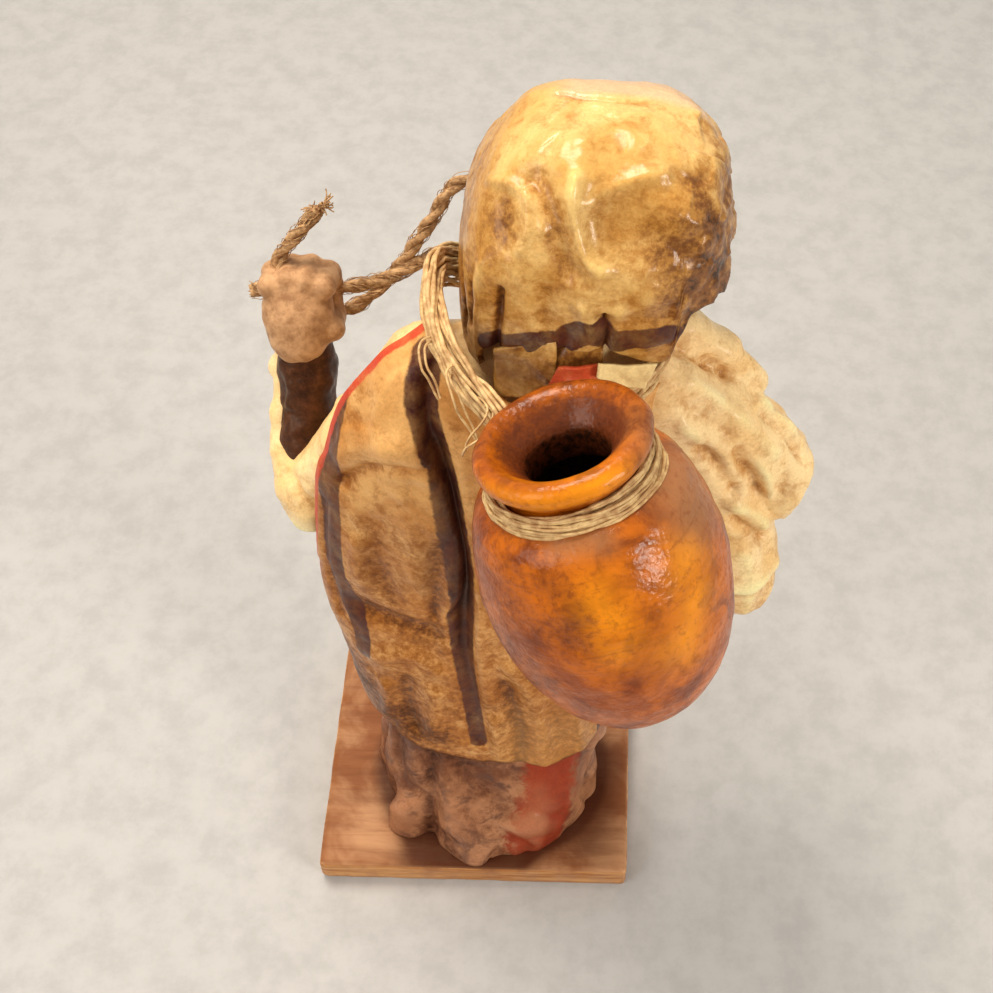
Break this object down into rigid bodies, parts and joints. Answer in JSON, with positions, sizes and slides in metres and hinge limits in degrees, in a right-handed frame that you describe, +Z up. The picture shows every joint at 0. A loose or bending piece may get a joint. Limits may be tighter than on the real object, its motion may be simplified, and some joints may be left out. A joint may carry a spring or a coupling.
{
  "type": "papier-mache water carrier figurine",
  "caption": "Lacquered paper figurine of a shawled water carrier in a striped serape, twine in its fists and a turned jug on its back, on a rectangular wooden base.",
  "frame": {"origin": "centre of the wooden base's underside, which rests on the table", "axes": "+Z up, the figure faces -Y, and +X is the figure's own left side"},
  "size_m": [0.1065, 0.1002, 0.1968],
  "materials": {
    "base_wood": "stained and lacquered top, bare sides, satin",
    "paper_body": "papier-mache, stained and lacquered, satin",
    "paper_shawl": "crumpled brown paper under amber lacquer, glossy",
    "paper_serape": "crumpled brown paper with painted stripes under amber lacquer, satin",
    "jug_wood": "turned wood, amber lacquer, glossy",
    "raffia": "dry raffia fibre, matte",
    "twine": "two-ply twine, matte"
  },
  "bodies": {
    "root": {"base": "base_wood", "figure": "paper_body", "head_shawl": "paper_shawl", "serape": "paper_serape", "jug": "jug_wood", "raffia_strap": "raffia", "twine": "twine"}
  },
  "joints": []
}
